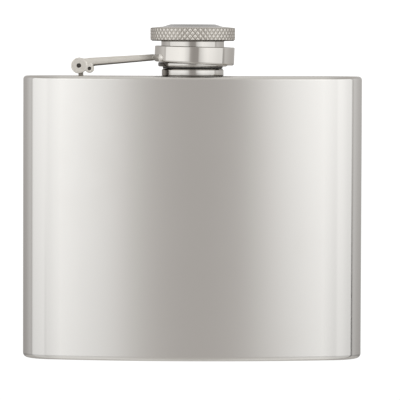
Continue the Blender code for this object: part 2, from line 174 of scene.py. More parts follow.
def steel(name, colour, tarnish, roughness, unevenness, patch, grain, corner=None):
    """A polished metal: its own values over the buffed steel group, and a whisper of grain.

    A corner is (height, reach, colour of the painted shade in it)."""
    made = bpy.data.materials.new(name)
    made.use_nodes = True
    tree = made.node_tree
    shader = tree.nodes["Principled BSDF"]
    buffed = use_group(
        tree,
        polish,
        colour=(*colour, 1),
        tarnish_colour=(*tarnish, 1),
        roughness=roughness,
        unevenness=unevenness,
        patch_size=patch,
    )
    bump = add_node(tree, "Bump", "grain", {"Height": buffed.outputs["Height"], "Distance": grain})
    bump.inputs["Strength"].default_value = 0.3
    colour_out, roughness_out = buffed.outputs["Colour"], buffed.outputs["Roughness"]
    if corner:
        corner_height, corner_reach, corner_shade_colour = corner
        corner_shade_mask = use_group(tree, corner_shade_painted, height=corner_height, reach=corner_reach)
        darker = add_node(
            tree, "Mix", "painted shade in the corner",
            {0: corner_shade_mask.outputs["Mask"], 6: colour_out, 7: (*corner_shade_colour, 1)}, data_type="RGBA",
        )
        rougher = add_node(
            tree, "Mix", "rough metal in the corner", {0: corner_shade_mask.outputs["Mask"], 2: roughness_out, 3: 0.5}
        )
        colour_out, roughness_out = darker.outputs[2], rougher.outputs[0]
    tree.links.new(colour_out, shader.inputs["Base Color"])
    tree.links.new(roughness_out, shader.inputs["Roughness"])
    tree.links.new(bump.outputs["Normal"], shader.inputs["Normal"])
    shader.inputs["Metallic"].default_value = 1.0
    return made


# The body band. It is one strip of stainless sheet rolled to the pocket curve, so its front is
# convex, its back hollow and its ends round. It is seam welded up one end, and polished outside
# to a soft mirror after the end plates are welded in.
body_width = 0.0950
thickness = 0.0195
front_radius = 0.170
sheet = 0.0005
rim = 0.0010
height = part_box("shoulder_plate")[1].z
middle_radius = front_radius - thickness / 2
end_angle = asin((body_width - thickness) / 2 / middle_radius)
depth = thickness + middle_radius * (1 - cos(end_angle))
arc_centre_y = front_radius - depth / 2
neck_y = (thickness - depth) / 2


def plan(inset):
    """The body's outline seen from above, moved in by the inset, anticlockwise from the left."""
    points = []
    end_x = middle_radius * sin(end_angle)
    end_y = arc_centre_y - middle_radius * cos(end_angle)
    end = thickness / 2 - inset
    faces, rounds = 120, 72
    for i in range(faces):
        angle = end_angle * (2 * i / faces - 1)
        radius = front_radius - inset
        points.append((radius * sin(angle), arc_centre_y - radius * cos(angle)))
    for i in range(rounds):
        angle = end_angle + pi * i / rounds
        points.append((end_x + end * sin(angle), end_y - end * cos(angle)))
    for i in range(faces):
        angle = end_angle * (1 - 2 * i / faces)
        radius = front_radius - thickness + inset
        points.append((radius * sin(angle), arc_centre_y - radius * cos(angle)))
    for i in range(rounds):
        angle = pi - end_angle + pi * i / rounds
        points.append((-end_x + end * sin(angle), end_y - end * cos(angle)))
    return points


def bridge(shape, rings, capped):
    """Joins each ring of vertices to the next with faces, and may close the two ends."""
    for one, two in zip(rings, rings[1:]):
        for i in range(len(one)):
            shape.faces.new((one[i - 1], one[i], two[i], two[i - 1]))
    if capped:
        shape.faces.new(rings[0])
        shape.faces.new(rings[-1])


def into_scene(shape, name):
    """Turns a bmesh into an object in the scene, with its faces outwards."""
    bmesh.ops.recalc_face_normals(shape, faces=shape.faces)
    mesh = bpy.data.meshes.new(name)
    shape.to_mesh(mesh)
    shape.free()
    piece = bpy.data.objects.new(name, mesh)
    bpy.context.scene.collection.objects.link(piece)
    return piece


def close_and_name(shape, name, material, crease):
    """Turns a bmesh into a smooth shaded object with its material."""
    piece = into_scene(shape, name)
    piece.data.materials.append(material)
    piece.data.shade_smooth()
    piece.data.set_sharp_from_angle(angle=radians(crease))
    return piece


def skin(name, levels, material, capped, joined=False):
    """A skin through copies of the body's outline, each an (inset, height), in order."""
    shape = bmesh.new()
    rings = [[shape.verts.new((x, y, z)) for x, y in plan(inset)] for inset, z in levels]
    bridge(shape, rings + rings[:1] if joined else rings, capped)
    return close_and_name(shape, name, material, 40)


mirror_steel = steel(
    "mirror_steel",
    colour=(0.832, 0.818, 0.798),
    tarnish=(0.805, 0.785, 0.760),
    roughness=0.205,
    unevenness=0.010,
    patch=0.018,
    grain=0.0000006,
)
tree = mirror_steel.node_tree
shader = tree.nodes["Principled BSDF"]
buffed_face = shader.inputs["Roughness"].links[0].from_socket
place = add_node(tree, "TexCoord", "place on the body")
across = add_node(tree, "SeparateXYZ", "across the body", {0: place.outputs["Object"]})
off_middle = add_node(
    tree, "Math", "distance from the middle",
    {0: across.outputs["X"]}, operation="ABSOLUTE"
)
round_end = add_node(
    tree,
    "MapRange",
    "the round ends are buffed longer",
    {"Value": off_middle.outputs[0], "From Min": 0.0365, "From Max": 0.0400},
)
sharper = add_node(tree, "Mix", "sharper ends", {0: round_end.outputs[0], 2: buffed_face, 3: 0.10})
tree.links.new(sharper.outputs[0], shader.inputs["Roughness"])
face_colour = shader.inputs["Base Color"].links[0].from_socket
deeper = add_node(
    tree, "Mix", "deeper shine on the ends",
    {0: round_end.outputs[0], 6: face_colour, 7: (0.672, 0.660, 0.645, 1)},
    data_type="RGBA",
)
tree.links.new(deeper.outputs[2], shader.inputs["Base Color"])
base_roll = 0.0013
levels = [(0, base_roll), (0, height - rim), (sheet, height - rim), (sheet, base_roll)]
band = skin("body_band", levels, mirror_steel, capped=False, joined=True)
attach(band, "flask")
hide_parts("body_wrap")


# The two end plates. Each is pressed from the same sheet, with a flat face, a tight rolled edge
# and a spigot turned inwards that finds its place in the band. A laser weld joins them to it, and
# the weld is ground and polished away, so only the rolled edge shows.
spigot_depth = 0.0030
spigot_inset = 0.0008
spigot_wall = 0.0006
plate_sheet = 0.0012


def end_plate(name, face, inwards, roll):
    """An end plate whose face is at a height, whose spigot goes inwards, and whose edge has a roll."""
    levels = []
    turns = 14
    for i in range(turns + 1):
        angle = pi / 2 * i / turns
        levels.append((roll * (1 - sin(angle)), roll * (1 - cos(angle))))
    levels += [
        (spigot_inset, roll + 0.00001),
        (spigot_inset, spigot_depth),
        (spigot_inset + spigot_wall, spigot_depth),
        (spigot_inset + spigot_wall, plate_sheet),
    ]
    placed = [(inset, face + inwards * z) for inset, z in levels]
    return skin(name, placed, mirror_steel, capped=True)


base = end_plate("base_pressing", 0, 1, base_roll)
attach(base, "flask")
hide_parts("base_plate")

shoulder = end_plate("shoulder_pressing", height, -1, rim)
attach(shoulder, "flask")
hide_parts("shoulder_plate")


# The step round the neck. It is a plain turned ring of bright stainless, brazed to the shoulder,
# with its upper edge broken by a small chamfer.


def rounded(corners, turns=5):
    """Points of a profile whose corners, given as (radius, height, rounding), are rounded off."""
    points = []
    count = len(corners)
    for i, (r, z, rounding) in enumerate(corners):
        corner = Vector((r, z))
        if not rounding:
            points.append(corner)
            continue
        before = (Vector(corners[i - 1][:2]) - corner).normalized()
        after = (Vector(corners[(i + 1) % count][:2]) - corner).normalized()
        opening = acos(max(-1, min(1, before.dot(after))))
        reach = rounding / tan(opening / 2)
        centre = corner + (before + after).normalized() * rounding / sin(opening / 2)
        start = corner + before * reach - centre
        end = corner + after * reach - centre
        sweep = atan2(start.x * end.y - start.y * end.x, start.dot(end))
        for turn in range(turns + 1):
            angle = sweep * turn / turns
            x = start.x * cos(angle) - start.y * sin(angle)
            y = start.x * sin(angle) + start.y * cos(angle)
            points.append(centre + Vector((x, y)))
    return points


def turned(name, points, material, steps=192, axis=(0, 0), radius_at=None, crease=30):
    """A piece turned from a closed profile of (radius, height). radius_at may move each point."""
    shape = bmesh.new()
    rings = []
    for r, z in points:
        if r < 1e-7:
            rings.append([shape.verts.new((axis[0], axis[1], z))])
            continue
        ring = []
        for step in range(steps):
            angle = 2 * pi * step / steps
            reach = radius_at(r, z, angle) if radius_at else r
            ring.append(shape.verts.new((axis[0] + reach * cos(angle), axis[1] + reach * sin(angle), z)))
        rings.append(ring)
    for one, two in zip(rings, rings[1:] + rings[:1]):
        for i in range(steps):
            corners = [one[i % len(one)], one[i - 1 if len(one) > 1 else 0]]
            corners += [two[i - 1 if len(two) > 1 else 0], two[i % len(two)]]
            corners = list(dict.fromkeys(corners))
            if len(corners) > 2:
                shape.faces.new(corners)
    piece = close_and_name(shape, name, material, crease)
    settle = piece.modifiers.new("settle_shading", "WEIGHTED_NORMAL")
    settle.keep_sharp = True
    return piece


turned_steel = steel(
    "turned_steel",
    colour=(0.630, 0.612, 0.585),
    tarnish=(0.640, 0.610, 0.570),
    roughness=0.055,
    unevenness=0.012,
    patch=0.006,
    grain=0.0000003,
)
neck = (0, neck_y)
ring_low, ring_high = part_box("neck_ring")
ring_radius = (ring_high.x - ring_low.x) / 2
spout_root = 0.00705
corners = [
    (spout_root, ring_high.z, 0),
    (ring_radius - 0.00035, ring_high.z, 0.0001),
    (ring_radius, ring_high.z - 0.00035, 0.0002),
    (ring_radius, height + 0.0002, 0.0002),
    (ring_radius - 0.0004, height, 0),
    (spout_root, height, 0),
]
# Painted shade: the ring's foot against the shoulder is painted dark.
neck_steel = steel(
    "neck_steel",
    colour=(0.600, 0.585, 0.562),
    tarnish=(0.600, 0.575, 0.540),
    roughness=0.075,
    unevenness=0.012,
    patch=0.006,
    grain=0.0000003,
    corner=(height, 0.0006, (0.16, 0.14, 0.12)),
)


# Painted reflection of the lever. The side of a ring nearest the lever is painted darker in a ragged patch,
# painted shade standing for the lever's dark reflection.
# The mask grows from nothing at the start to full once it is the reach further out.
lever_reflection_painted, inside, outside = new_group("lever_reflection_painted", ("Start", "Reach"), ("Mask",))
place = add_node(lever_reflection_painted, "TexCoord", "place on the ring")
side = add_node(lever_reflection_painted, "SeparateXYZ", "towards the lever", {0: place.outputs["Object"]})
ragged = add_node(
    lever_reflection_painted, "TexNoise", "ragged painted reflection",
    {"Vector": place.outputs["Object"], "Scale": 500.0}
)
wobble = add_node(
    lever_reflection_painted, "MapRange", "how ragged",
    {"Value": ragged.outputs["Fac"], "To Min": -0.0003, "To Max": 0.0003}
)
edge = add_node(
    lever_reflection_painted, "Math", "painted reflection's edge",
    {0: side.outputs["X"], 1: wobble.outputs[0]}, operation="ADD"
)
full = add_node(
    lever_reflection_painted, "Math", "fully painted from here", {0: inside.outputs["Start"], 1: inside.outputs["Reach"]},
    operation="SUBTRACT",
)
reflection_mask = add_node(
    lever_reflection_painted, "MapRange", "reflection_mask",
    {"Value": edge.outputs[0], "From Min": inside.outputs["Start"], "From Max": full.outputs[0]},
)
lever_reflection_painted.links.new(reflection_mask.outputs[0], outside.inputs["Mask"])


def paint_lever_reflection(material, start, colour):
    """Paints the lever's dark reflection, as painted shade, on a ring's steel, from this x on."""
    tree = material.node_tree
    shader = tree.nodes["Principled BSDF"]
    clean = shader.inputs["Base Color"].links[0].from_socket
    patch = use_group(tree, lever_reflection_painted, start=start, reach=0.0004)
    reflected_dark = add_node(
        tree, "Mix", "painted reflection of the lever", {0: patch.outputs["Mask"], 6: clean, 7: colour}, data_type="RGBA"
    )
    tree.links.new(reflected_dark.outputs[2], shader.inputs["Base Color"])


# Painted shade: the neck ring's side by the lever is painted dark, for the lever's reflection.
paint_lever_reflection(neck_steel, -0.0065, (0.09, 0.08, 0.07, 1))
paint_lever_reflection(neck_steel, -0.0074, (0.32, 0.30, 0.27, 1))
neck_step = turned("neck_step", rounded(corners), neck_steel, axis=neck)
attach(neck_step, "flask")
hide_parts("neck_ring")


# The spout. It is a turned stainless tube with a rolled thread outside and a smooth bore, flared
# under the shoulder and welded there. The thread is right handed and starts in from the rim.
spout_low, spout_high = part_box("neck_spout")
spout_crest = (spout_high.x - spout_low.x) / 2
spout_bore = 0.0062
pitch = 0.0016


def thread_height(z, angle, foot, top):
    """How far a helical thread stands at a height and angle, from 0 in the root to 1 on its crest."""
    turn = (z - foot) / pitch - angle / (2 * pi)
    across = abs((turn % 1.0) - 0.5) * 2
    ridge = max(0.0, min(1.0, (0.72 - across) / 0.42))
    fade = min(1.0, max(0.0, (z - foot) / (0.5 * pitch)), max(0.0, (top - z) / (0.5 * pitch)))
    return ridge * fade


hair = 0.00001
thread_foot = ring_high.z + 0.0004
thread_top = spout_high.z - 0.0004


def spout_radius(r, z, angle):
    if r > spout_root - hair and thread_foot < z < thread_top:
        return spout_root + (spout_crest - spout_root) * thread_height(z, angle, thread_foot, thread_top)
    return r


rows = 72
rim_edge = 0.0002
shank = spout_root - 0.00035
foot_flange = 0.0074
foot_top = spout_low.z + 0.0005
profile = [Vector((spout_bore + rim_edge, spout_high.z)), Vector((spout_root - rim_edge, spout_high.z))]
profile += [
    Vector((spout_root, spout_high.z - rim_edge + (thread_foot - 0.0003 - spout_high.z) * i / rows))
    for i in range(rows + 1)
]
profile += [
    Vector((shank, height)),
    Vector((shank, foot_top)),
    Vector((foot_flange, foot_top)),
    Vector((foot_flange, spout_low.z)),
    Vector((spout_bore, spout_low.z)),
    Vector((spout_bore, spout_high.z - rim_edge)),
]
# Painted shade: the thread at the spout's foot, in the narrow gap under the cap, is painted dark.
thread_steel = steel(
    "thread_steel",
    colour=(0.500, 0.480, 0.450),
    tarnish=(0.380, 0.350, 0.310),
    roughness=0.33,
    unevenness=0.04,
    patch=0.002,
    grain=0.000002,
    corner=(ring_high.z, 0.0007, (0.10, 0.09, 0.08)),
)
spout = turned("spout", profile, thread_steel, steps=128, axis=neck, radius_at=spout_radius, crease=50)
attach(spout, "flask")
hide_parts("neck_spout")

hole_radius = spout_root - 0.0002
hole_top, hole_foot = height + 0.003, height - 0.004
cutter_profile = [
    Vector(point)
    for point in ((0, hole_top), (hole_radius, hole_top), (hole_radius, hole_foot), (0, hole_foot))
]
hole = turned("neck_hole", cutter_profile, turned_steel, axis=neck)
cut = shoulder.modifiers.new("neck_hole", "BOOLEAN")
cut.operation = "DIFFERENCE"
cut.object = hole
bpy.context.view_layer.update()
drilled = bpy.data.meshes.new_from_object(shoulder.evaluated_get(bpy.context.evaluated_depsgraph_get()))
shoulder.modifiers.remove(cut)
shoulder.data = drilled
bpy.data.objects.remove(hole, do_unlink=True)


# The cap's grip. It is a steel disc with a fine diamond knurl pressed round its edge by two
# crossing wheels, a shallow bevel above it and a raised flat in the middle. The knurl's nickel
# plate is coloured lighter on its points and darker down in its grooves.
head_low, head_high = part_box("cap_head")
head_radius = (head_high.x - head_low.x) / 2
knurl_foot = head_low.z
knurl_top = knurl_foot + 0.00367
bevel_top = knurl_top + 0.0004
diamonds_round = 54
diamond_height = 0.00172
knurl_cut = 0.00016
fine = 12
top_edge = 0.00014
foot_edge = 0.00034


def knurl_radius(i, j):
    """The radius at a point of the knurl's grid, where a diamond is this many steps wide and high."""
    across = (i + j) / fine
    along = (i - j) / fine
    groove = min(abs(across - round(across)), abs(along - round(along))) * 2
    return head_radius - knurl_cut + knurl_cut * min(1.0, groove * 1.35)


shape = bmesh.new()
steps = diamonds_round * fine
knurled = knurl_top - knurl_foot - top_edge - foot_edge
rows = round(knurled / (diamond_height / fine))
rings = []
for j in range(rows + 1):
    z = knurl_foot + foot_edge + knurled * j / rows
    ring = []
    for i in range(steps):
        angle = 2 * pi * i / steps
        radius = knurl_radius(i, j)
        ring.append(shape.verts.new((radius * cos(angle), neck_y + radius * sin(angle), z)))
    rings.append(ring)


def plain_ring(radius, z):
    """A ring without diamonds, as fine as the knurl."""
    return [
        shape.verts.new((radius * cos(2 * pi * i / steps), neck_y + radius * sin(2 * pi * i / steps), z))
        for i in range(steps)
    ]


boss_top = head_high.z
upper = [
    (head_radius - 0.00022, knurl_top),
    (0.0100, knurl_top + 0.00018),
    (0.0083, bevel_top - 0.00006),
    (0.0079, bevel_top + 0.00004),
    (0.0070, bevel_top + 0.00034),
    (0.0064, boss_top - 0.00006),
    (0.0060, boss_top),
    (0.0030, boss_top),
]
lower = [
    (head_radius - 0.00020, knurl_foot + foot_edge - 0.00006),
    (head_radius - 0.00042, knurl_foot + 0.00004),
    (head_radius - 0.00050, knurl_foot),
    (0.0092, knurl_foot),
    (0.0030, knurl_foot),
]
rings = [plain_ring(r, z) for r, z in reversed(lower)] + rings + [plain_ring(r, z) for r, z in upper]
bridge(shape, rings, capped=True)
knurled_steel = steel(
    "knurled_steel",
    colour=(0.700, 0.670, 0.630),
    tarnish=(0.560, 0.520, 0.470),
    roughness=0.20,
    unevenness=0.04,
    patch=0.002,
    grain=0.000002,
)
tree = knurled_steel.node_tree
shader = tree.nodes["Principled BSDF"]
plated = shader.inputs["Base Color"].links[0].from_socket
place = add_node(tree, "TexCoord", "place on the grip")
from_axis = add_node(
    tree, "VectorMath", "from the cap's axis",
    {0: place.outputs["Object"], 1: (0, neck_y, 0)}, operation="SUBTRACT",
)
flat = add_node(tree, "VectorMath", "level", {0: from_axis.outputs[0], 1: (1, 1, 0)}, operation="MULTIPLY")
radius_here = add_node(tree, "VectorMath", "radius", {0: flat.outputs[0]}, operation="LENGTH")
in_groove = add_node(
    tree,
    "MapRange",
    "down in the grooves",
    {
        "Value": radius_here.outputs["Value"],
        "From Min": head_radius - knurl_cut * 0.95,
        "From Max": head_radius - knurl_cut * 0.35,
        "To Min": 1.0,
        "To Max": 0.0,
    },
)
beyond_top = add_node(
    tree,
    "MapRange",
    "only on the knurl",
    {
        "Value": radius_here.outputs["Value"],
        "From Min": head_radius - knurl_cut * 1.6,
        "From Max": head_radius - knurl_cut * 1.1,
    },
)
groove_darkening = add_node(
    tree, "Math", "darker in the grooves",
    {0: in_groove.outputs[0], 1: beyond_top.outputs[0]}, operation="MULTIPLY"
)
groove_darkened = add_node(
    tree, "Mix", "darker grooves", {0: groove_darkening.outputs[0], 6: plated, 7: (0.40, 0.37, 0.33, 1)}, data_type="RGBA"
)
# Painted shade: the grip's foot, where it meets the cup, is painted dark.
corner_shade_mask = use_group(tree, corner_shade_painted, height=knurl_foot, reach=0.00062)
footed = add_node(
    tree, "Mix", "painted shade at the foot", {0: corner_shade_mask.outputs["Mask"], 6: groove_darkened.outputs[2], 7: (0.10, 0.09, 0.08, 1)},
    data_type="RGBA",
)
grip_height = add_node(tree, "SeparateXYZ", "height on the grip", {0: place.outputs["Object"]})
on_top = add_node(
    tree,
    "MapRange",
    "on the turned top",
    {"Value": grip_height.outputs["Z"], "From Min": knurl_top + 0.00012, "From Max": knurl_top + 0.00030},
)
topped = add_node(
    tree, "Mix", "turned top", {0: on_top.outputs[0], 6: footed.outputs[2], 7: (0.46, 0.465, 0.475, 1)},
    data_type="RGBA",
)
tree.links.new(topped.outputs[2], shader.inputs["Base Color"])
shader.inputs["Metallic"].default_value = 0.8
grip = close_and_name(shape, "cap_grip", knurled_steel, 24)
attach(grip, "cap")
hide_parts("cap_head")


# The cap's sleeve. It is a turned steel cup with a thread cut inside, polished outside, and
# turned down at its foot where the retaining ring is pressed on.
sleeve_low, sleeve_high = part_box("cap_sleeve")
sleeve_radius = (sleeve_high.x - sleeve_low.x) / 2
sleeve_foot_radius = 0.00835
sleeve_root = 0.0081
sleeve_crest = 0.00775
sleeve_step = sleeve_low.z + 0.0012
sleeve_mouth = ring_high.z + 0.00006
ceiling = sleeve_high.z - 0.0007
bore_thread_top = ceiling - 0.0012


def sleeve_bore(r, z, angle):
    if abs(r - sleeve_root) < hair and sleeve_low.z < z < bore_thread_top:
        stand = thread_height(z, angle, sleeve_low.z, bore_thread_top)
        return sleeve_root - (sleeve_root - sleeve_crest) * stand
    return r


rows = 60
profile = [
    Vector((0, knurl_foot)),
    Vector((0.0050, knurl_foot)),
    Vector((sleeve_radius, knurl_foot)),
    Vector((sleeve_radius, sleeve_step)),
    Vector((sleeve_foot_radius, sleeve_step)),
    Vector((sleeve_foot_radius, sleeve_mouth + 0.0001)),
    Vector((sleeve_foot_radius - 0.0001, sleeve_mouth)),
    Vector((sleeve_root, sleeve_mouth)),
    Vector((sleeve_root, sleeve_low.z)),
]
profile += [
    Vector((sleeve_root, sleeve_low.z + (ceiling - sleeve_low.z) * i / rows)) for i in range(1, rows + 1)
]
profile += [Vector((0.0040, ceiling)), Vector((0, ceiling))]
# Painted shade: the cup's top, just under the grip, is painted dark.
cup_steel = steel(
    "cup_steel",
    colour=(0.594, 0.576, 0.550),
    tarnish=(0.590, 0.565, 0.530),
    roughness=0.08,
    unevenness=0.012,
    patch=0.006,
    grain=0.0000003,
    corner=(knurl_foot, 0.0003, (0.20, 0.18, 0.155)),
)
tree = cup_steel.node_tree
shader = tree.nodes["Principled BSDF"]
polished, sharpness = (shader.inputs[name].links[0].from_socket for name in ("Base Color", "Roughness"))
# Painted shade: the cup's mouth is painted near black, and made rough, where the gap round the neck lies in
# shade.
mouth = use_group(tree, corner_shade_painted, height=sleeve_mouth, reach=0.0013)
mouth_shade_painted = add_node(
    tree, "Mix", "painted shade at the mouth", {0: mouth.outputs["Mask"], 6: polished, 7: (0.030, 0.027, 0.024, 1)},
    data_type="RGBA",
)
roughened = add_node(tree, "Mix", "rough mouth", {0: mouth.outputs["Mask"], 2: sharpness, 3: 0.6})
tree.links.new(mouth_shade_painted.outputs[2], shader.inputs["Base Color"])
tree.links.new(roughened.outputs[0], shader.inputs["Roughness"])
sleeve = turned("cap_cup", profile, cup_steel, steps=128, axis=neck, radius_at=sleeve_bore, crease=35)
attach(sleeve, "cap")
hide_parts("cap_sleeve")


# The retaining ring. It is a hard steel washer with rounded edges, pressed on the sleeve's foot
# once the collar is on, so the cap can't leave its lever.
keeper_low, keeper_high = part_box("cap_retaining_ring")
keeper_radius = (keeper_high.x - keeper_low.x) / 2
corners = [
    (sleeve_foot_radius, keeper_high.z, 0),
    (keeper_radius, keeper_high.z, 0.0003),
    (keeper_radius, keeper_low.z, 0.0005),
    (sleeve_foot_radius, keeper_low.z, 0),
]
rubbed_steel = steel(
    "rubbed_steel",
    colour=(0.630, 0.612, 0.585),
    tarnish=(0.560, 0.535, 0.500),
    roughness=0.075,
    unevenness=0.012,
    patch=0.006,
    grain=0.0000003,
)
# Painted shade: the washer's side by the lever is painted dark.
paint_lever_reflection(rubbed_steel, -0.0066, (0.11, 0.10, 0.09, 1))
keeper = turned("retaining_washer", rounded(corners), rubbed_steel, axis=neck)
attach(keeper, "cap")
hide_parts("cap_retaining_ring")


# The gasket. It is a soft white silicone washer that sits loose under the cup's ceiling and
# seals on the spout's rim, which leaves a faint ring in it.
seal_low, seal_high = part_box("cap_gasket")
seal_radius = (seal_high.x - seal_low.x) / 2
corners = [
    (0.0030, seal_high.z, 0.00015),
    (seal_radius, seal_high.z, 0.00015),
    (seal_radius, seal_low.z, 0.00015),
    (0.0072, seal_low.z, 0),
    (0.0067, seal_low.z + 0.00008, 0.00005),
    (0.0062, seal_low.z, 0),
    (0.0030, seal_low.z, 0.00015),
]
silicone = bpy.data.materials.new("silicone")
silicone.use_nodes = True
tree = silicone.node_tree
shader = tree.nodes["Principled BSDF"]
place = add_node(tree, "TexCoord", "place on the washer")
cloud = add_node(
    tree, "TexNoise", "cloudiness",
    {"Vector": place.outputs["Object"], "Scale": 500.0, "Detail": 3.0}
)
tints = add_node(
    tree,
    "Mix",
    "milky tints",
    {0: cloud.outputs["Fac"], 6: (0.80, 0.79, 0.75, 1), 7: (0.68, 0.67, 0.62, 1)},
    data_type="RGBA",
)
matt = add_node(
    tree, "MapRange", "matt patches", {"Value": cloud.outputs["Fac"], "To Min": 0.45, "To Max": 0.62}
)
tree.links.new(tints.outputs[2], shader.inputs["Base Color"])
tree.links.new(matt.outputs[0], shader.inputs["Roughness"])
shader.inputs["Subsurface Weight"].default_value = 0.3
shader.inputs["Subsurface Scale"].default_value = 0.002
gasket = turned("seal_washer", rounded(corners), silicone, steps=128, axis=neck)
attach(gasket, "seal")
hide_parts("cap_gasket")


# The collar. It is a tall turned ring, mirror polished outside, that hangs loosely round the
# sleeve. It is a little taller on the side away from the hinge, and leans that way. Inside its
# lip there is a pocket that the retaining ring rises into as the cap is unscrewed.
collar_radius = 0.01115
collar_height = 0.00478
collar_x = 0.0005
collar_z = height + 0.00348 + collar_height / 2
top_lean = radians(1.3)
foot_lean = radians(2.9)
middle_lean = (top_lean + foot_lean) / 2
half = collar_height / 2
corners = [
    (0.0095, half, 0.0002),
    (collar_radius, half, 0.00028),
    (collar_radius, -half, 0.0006),
    (0.0105, -half, 0),
    (0.0105, half - 0.0007, 0.0002),
    (0.0095, half - 0.0007, 0.0001),
]
collar_steel = steel(
    "collar_steel",
    colour=(0.640, 0.618, 0.588),
    tarnish=(0.600, 0.575, 0.540),
    roughness=0.035,
    unevenness=0.008,
    patch=0.008,
    grain=0.0000002,
)
collar = turned("collar", rounded(corners, 7), collar_steel)
for vertex in collar.data.vertices:
    share = vertex.co.z / collar_height + 0.5
    lean = foot_lean + (top_lean - foot_lean) * share
    vertex.co.z -= vertex.co.x * tan(lean)
    vertex.co.x += (share - 0.5) * collar_height * tan(middle_lean)
collar.data.transform(Matrix.Translation((collar_x, neck_y, collar_z)))
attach(collar, "lever")
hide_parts("collar_ring")


# The lever. It is a small investment casting with a soft nickel sheen: a fork with two round
# ears and a lug under each, a bar that tapers and rises, and a yoke that is brazed round the
# flank of the collar. The fettled casting has no sharp edge anywhere.
hinge = Vector((-0.0317, neck_y, height + 0.00285))
rivet = hinge + Vector((0.00295, 0, -0.0008))
fork_width = 0.0044
ear_radius = 0.00222
lug_radius = 0.00125
yoke_foot = height + 0.0042
yoke_height = 0.0019
bead_middle = height + 0.00515


def disc_along_y(centre, radius, length, segments=64):
    """A plain disc or drill lying across the fork."""
    shape = bmesh.new()
    bmesh.ops.create_cone(
        shape, cap_ends=True, segments=segments, radius1=radius, radius2=radius, depth=length
    )
    for vertex in shape.verts:
        vertex.co = centre + Vector((vertex.co.x, vertex.co.z, -vertex.co.y))
    return into_scene(shape, "disc")


def bar_section(along):
    """(height above the hinge, half height, half width) of the bar at a share of its length."""
    rise = 0.00075 + 0.0016 * along
    tall = 0.00125 - 0.00035 * along
    wide = 0.0021 - 0.0006 * along
    return rise, tall, wide


def rounded_bar(start, end, stations=18, around=28):
    """The tapering bar, with soft square sections, between two places along x."""
    shape = bmesh.new()
    rings = []
    for i in range(stations + 1):
        along = i / stations
        rise, tall, wide = bar_section(along)
        ring = []
        for j in range(around):
            angle = 2 * pi * j / around
            bulge = 1 / max(abs(cos(angle)) ** 3 + abs(sin(angle)) ** 3, 1e-6) ** (1 / 3)
            y = wide * bulge * cos(angle)
            z = rise + tall * bulge * sin(angle)
            ring.append(shape.verts.new((start + (end - start) * along, hinge.y + y, hinge.z + z)))
        rings.append(ring)
    bridge(shape, rings, capped=True)
    return into_scene(shape, "bar")


def yoke_pad(half_angle, low, tall, pieces=44, around=16):
    """The band round the collar's flank, thin at the bar and thick and round at its two ends."""
    shape = bmesh.new()
    rings = []
    for i in range(pieces + 1):
        turn = 2 * i / pieces - 1
        angle = pi + half_angle * turn
        tip = max(0.0, (abs(turn) - 0.86) / 0.14)
        round_off = (1 - tip**2) ** 0.5 if tip < 1 else 0.12
        deep = (0.00042 + 0.0003 * abs(turn) ** 2) * round_off
        high = tall / 2 * (0.82 + 0.18 * abs(turn)) * round_off
        ring = []
        for j in range(around):
            corner = 2 * pi * j / around
            radius = collar_radius + deep * cos(corner)
            x = collar_x + radius * cos(angle)
            y = neck_y + radius * sin(angle)
            ring.append(shape.verts.new((x, y, low + tall / 2 + high * sin(corner))))
        rings.append(ring)
    bridge(shape, rings, capped=True)
    return into_scene(shape, "yoke")


def box_between(low, high):
    """A block between two opposite corners."""
    shape = bmesh.new()
    bmesh.ops.create_cube(shape, size=1)
    middle, size = (low + high) / 2, high - low
    for vertex in shape.verts:
        vertex.co = Vector(middle[k] + vertex.co[k] * size[k] for k in range(3))
    return into_scene(shape, "box")


def casting(name, joined, cut_away, material, voxel, smoothing):
    """One cast piece: shapes run together and rounded over, then cut where it is machined."""
    piece = joined[0]
    piece.name = name
    for other in joined[1:]:
        union = piece.modifiers.new("join", "BOOLEAN")
        union.operation = "UNION"
        union.object = other
    remesh = piece.modifiers.new("cast", "REMESH")
    remesh.mode = "VOXEL"
    remesh.voxel_size = voxel
    smooth = piece.modifiers.new("fettle", "SMOOTH")
    smooth.factor = 0.5
    smooth.iterations = smoothing
    for other in cut_away:
        difference = piece.modifiers.new("machine", "BOOLEAN")
        difference.operation = "DIFFERENCE"
        difference.object = other
    bpy.context.view_layer.update()
    graph = bpy.context.evaluated_depsgraph_get()
    mesh = bpy.data.meshes.new_from_object(piece.evaluated_get(graph))
    piece.modifiers.clear()
    piece.data = mesh
    for other in joined[1:] + cut_away:
        bpy.data.objects.remove(other, do_unlink=True)
    mesh.materials.clear()
    mesh.materials.append(material)
    mesh.shade_smooth()
    mesh.set_sharp_from_angle(angle=radians(40))
    return piece


cast_nickel = steel(
    "cast_nickel",
    colour=(0.900, 0.870, 0.820),
    tarnish=(0.760, 0.710, 0.640),
    roughness=0.42,
    unevenness=0.05,
    patch=0.0018,
    grain=0.000012,
)
tree = cast_nickel.node_tree
shader = tree.nodes["Principled BSDF"]
shader.inputs["Metallic"].default_value = 0.62
plated = shader.inputs["Base Color"].links[0].from_socket
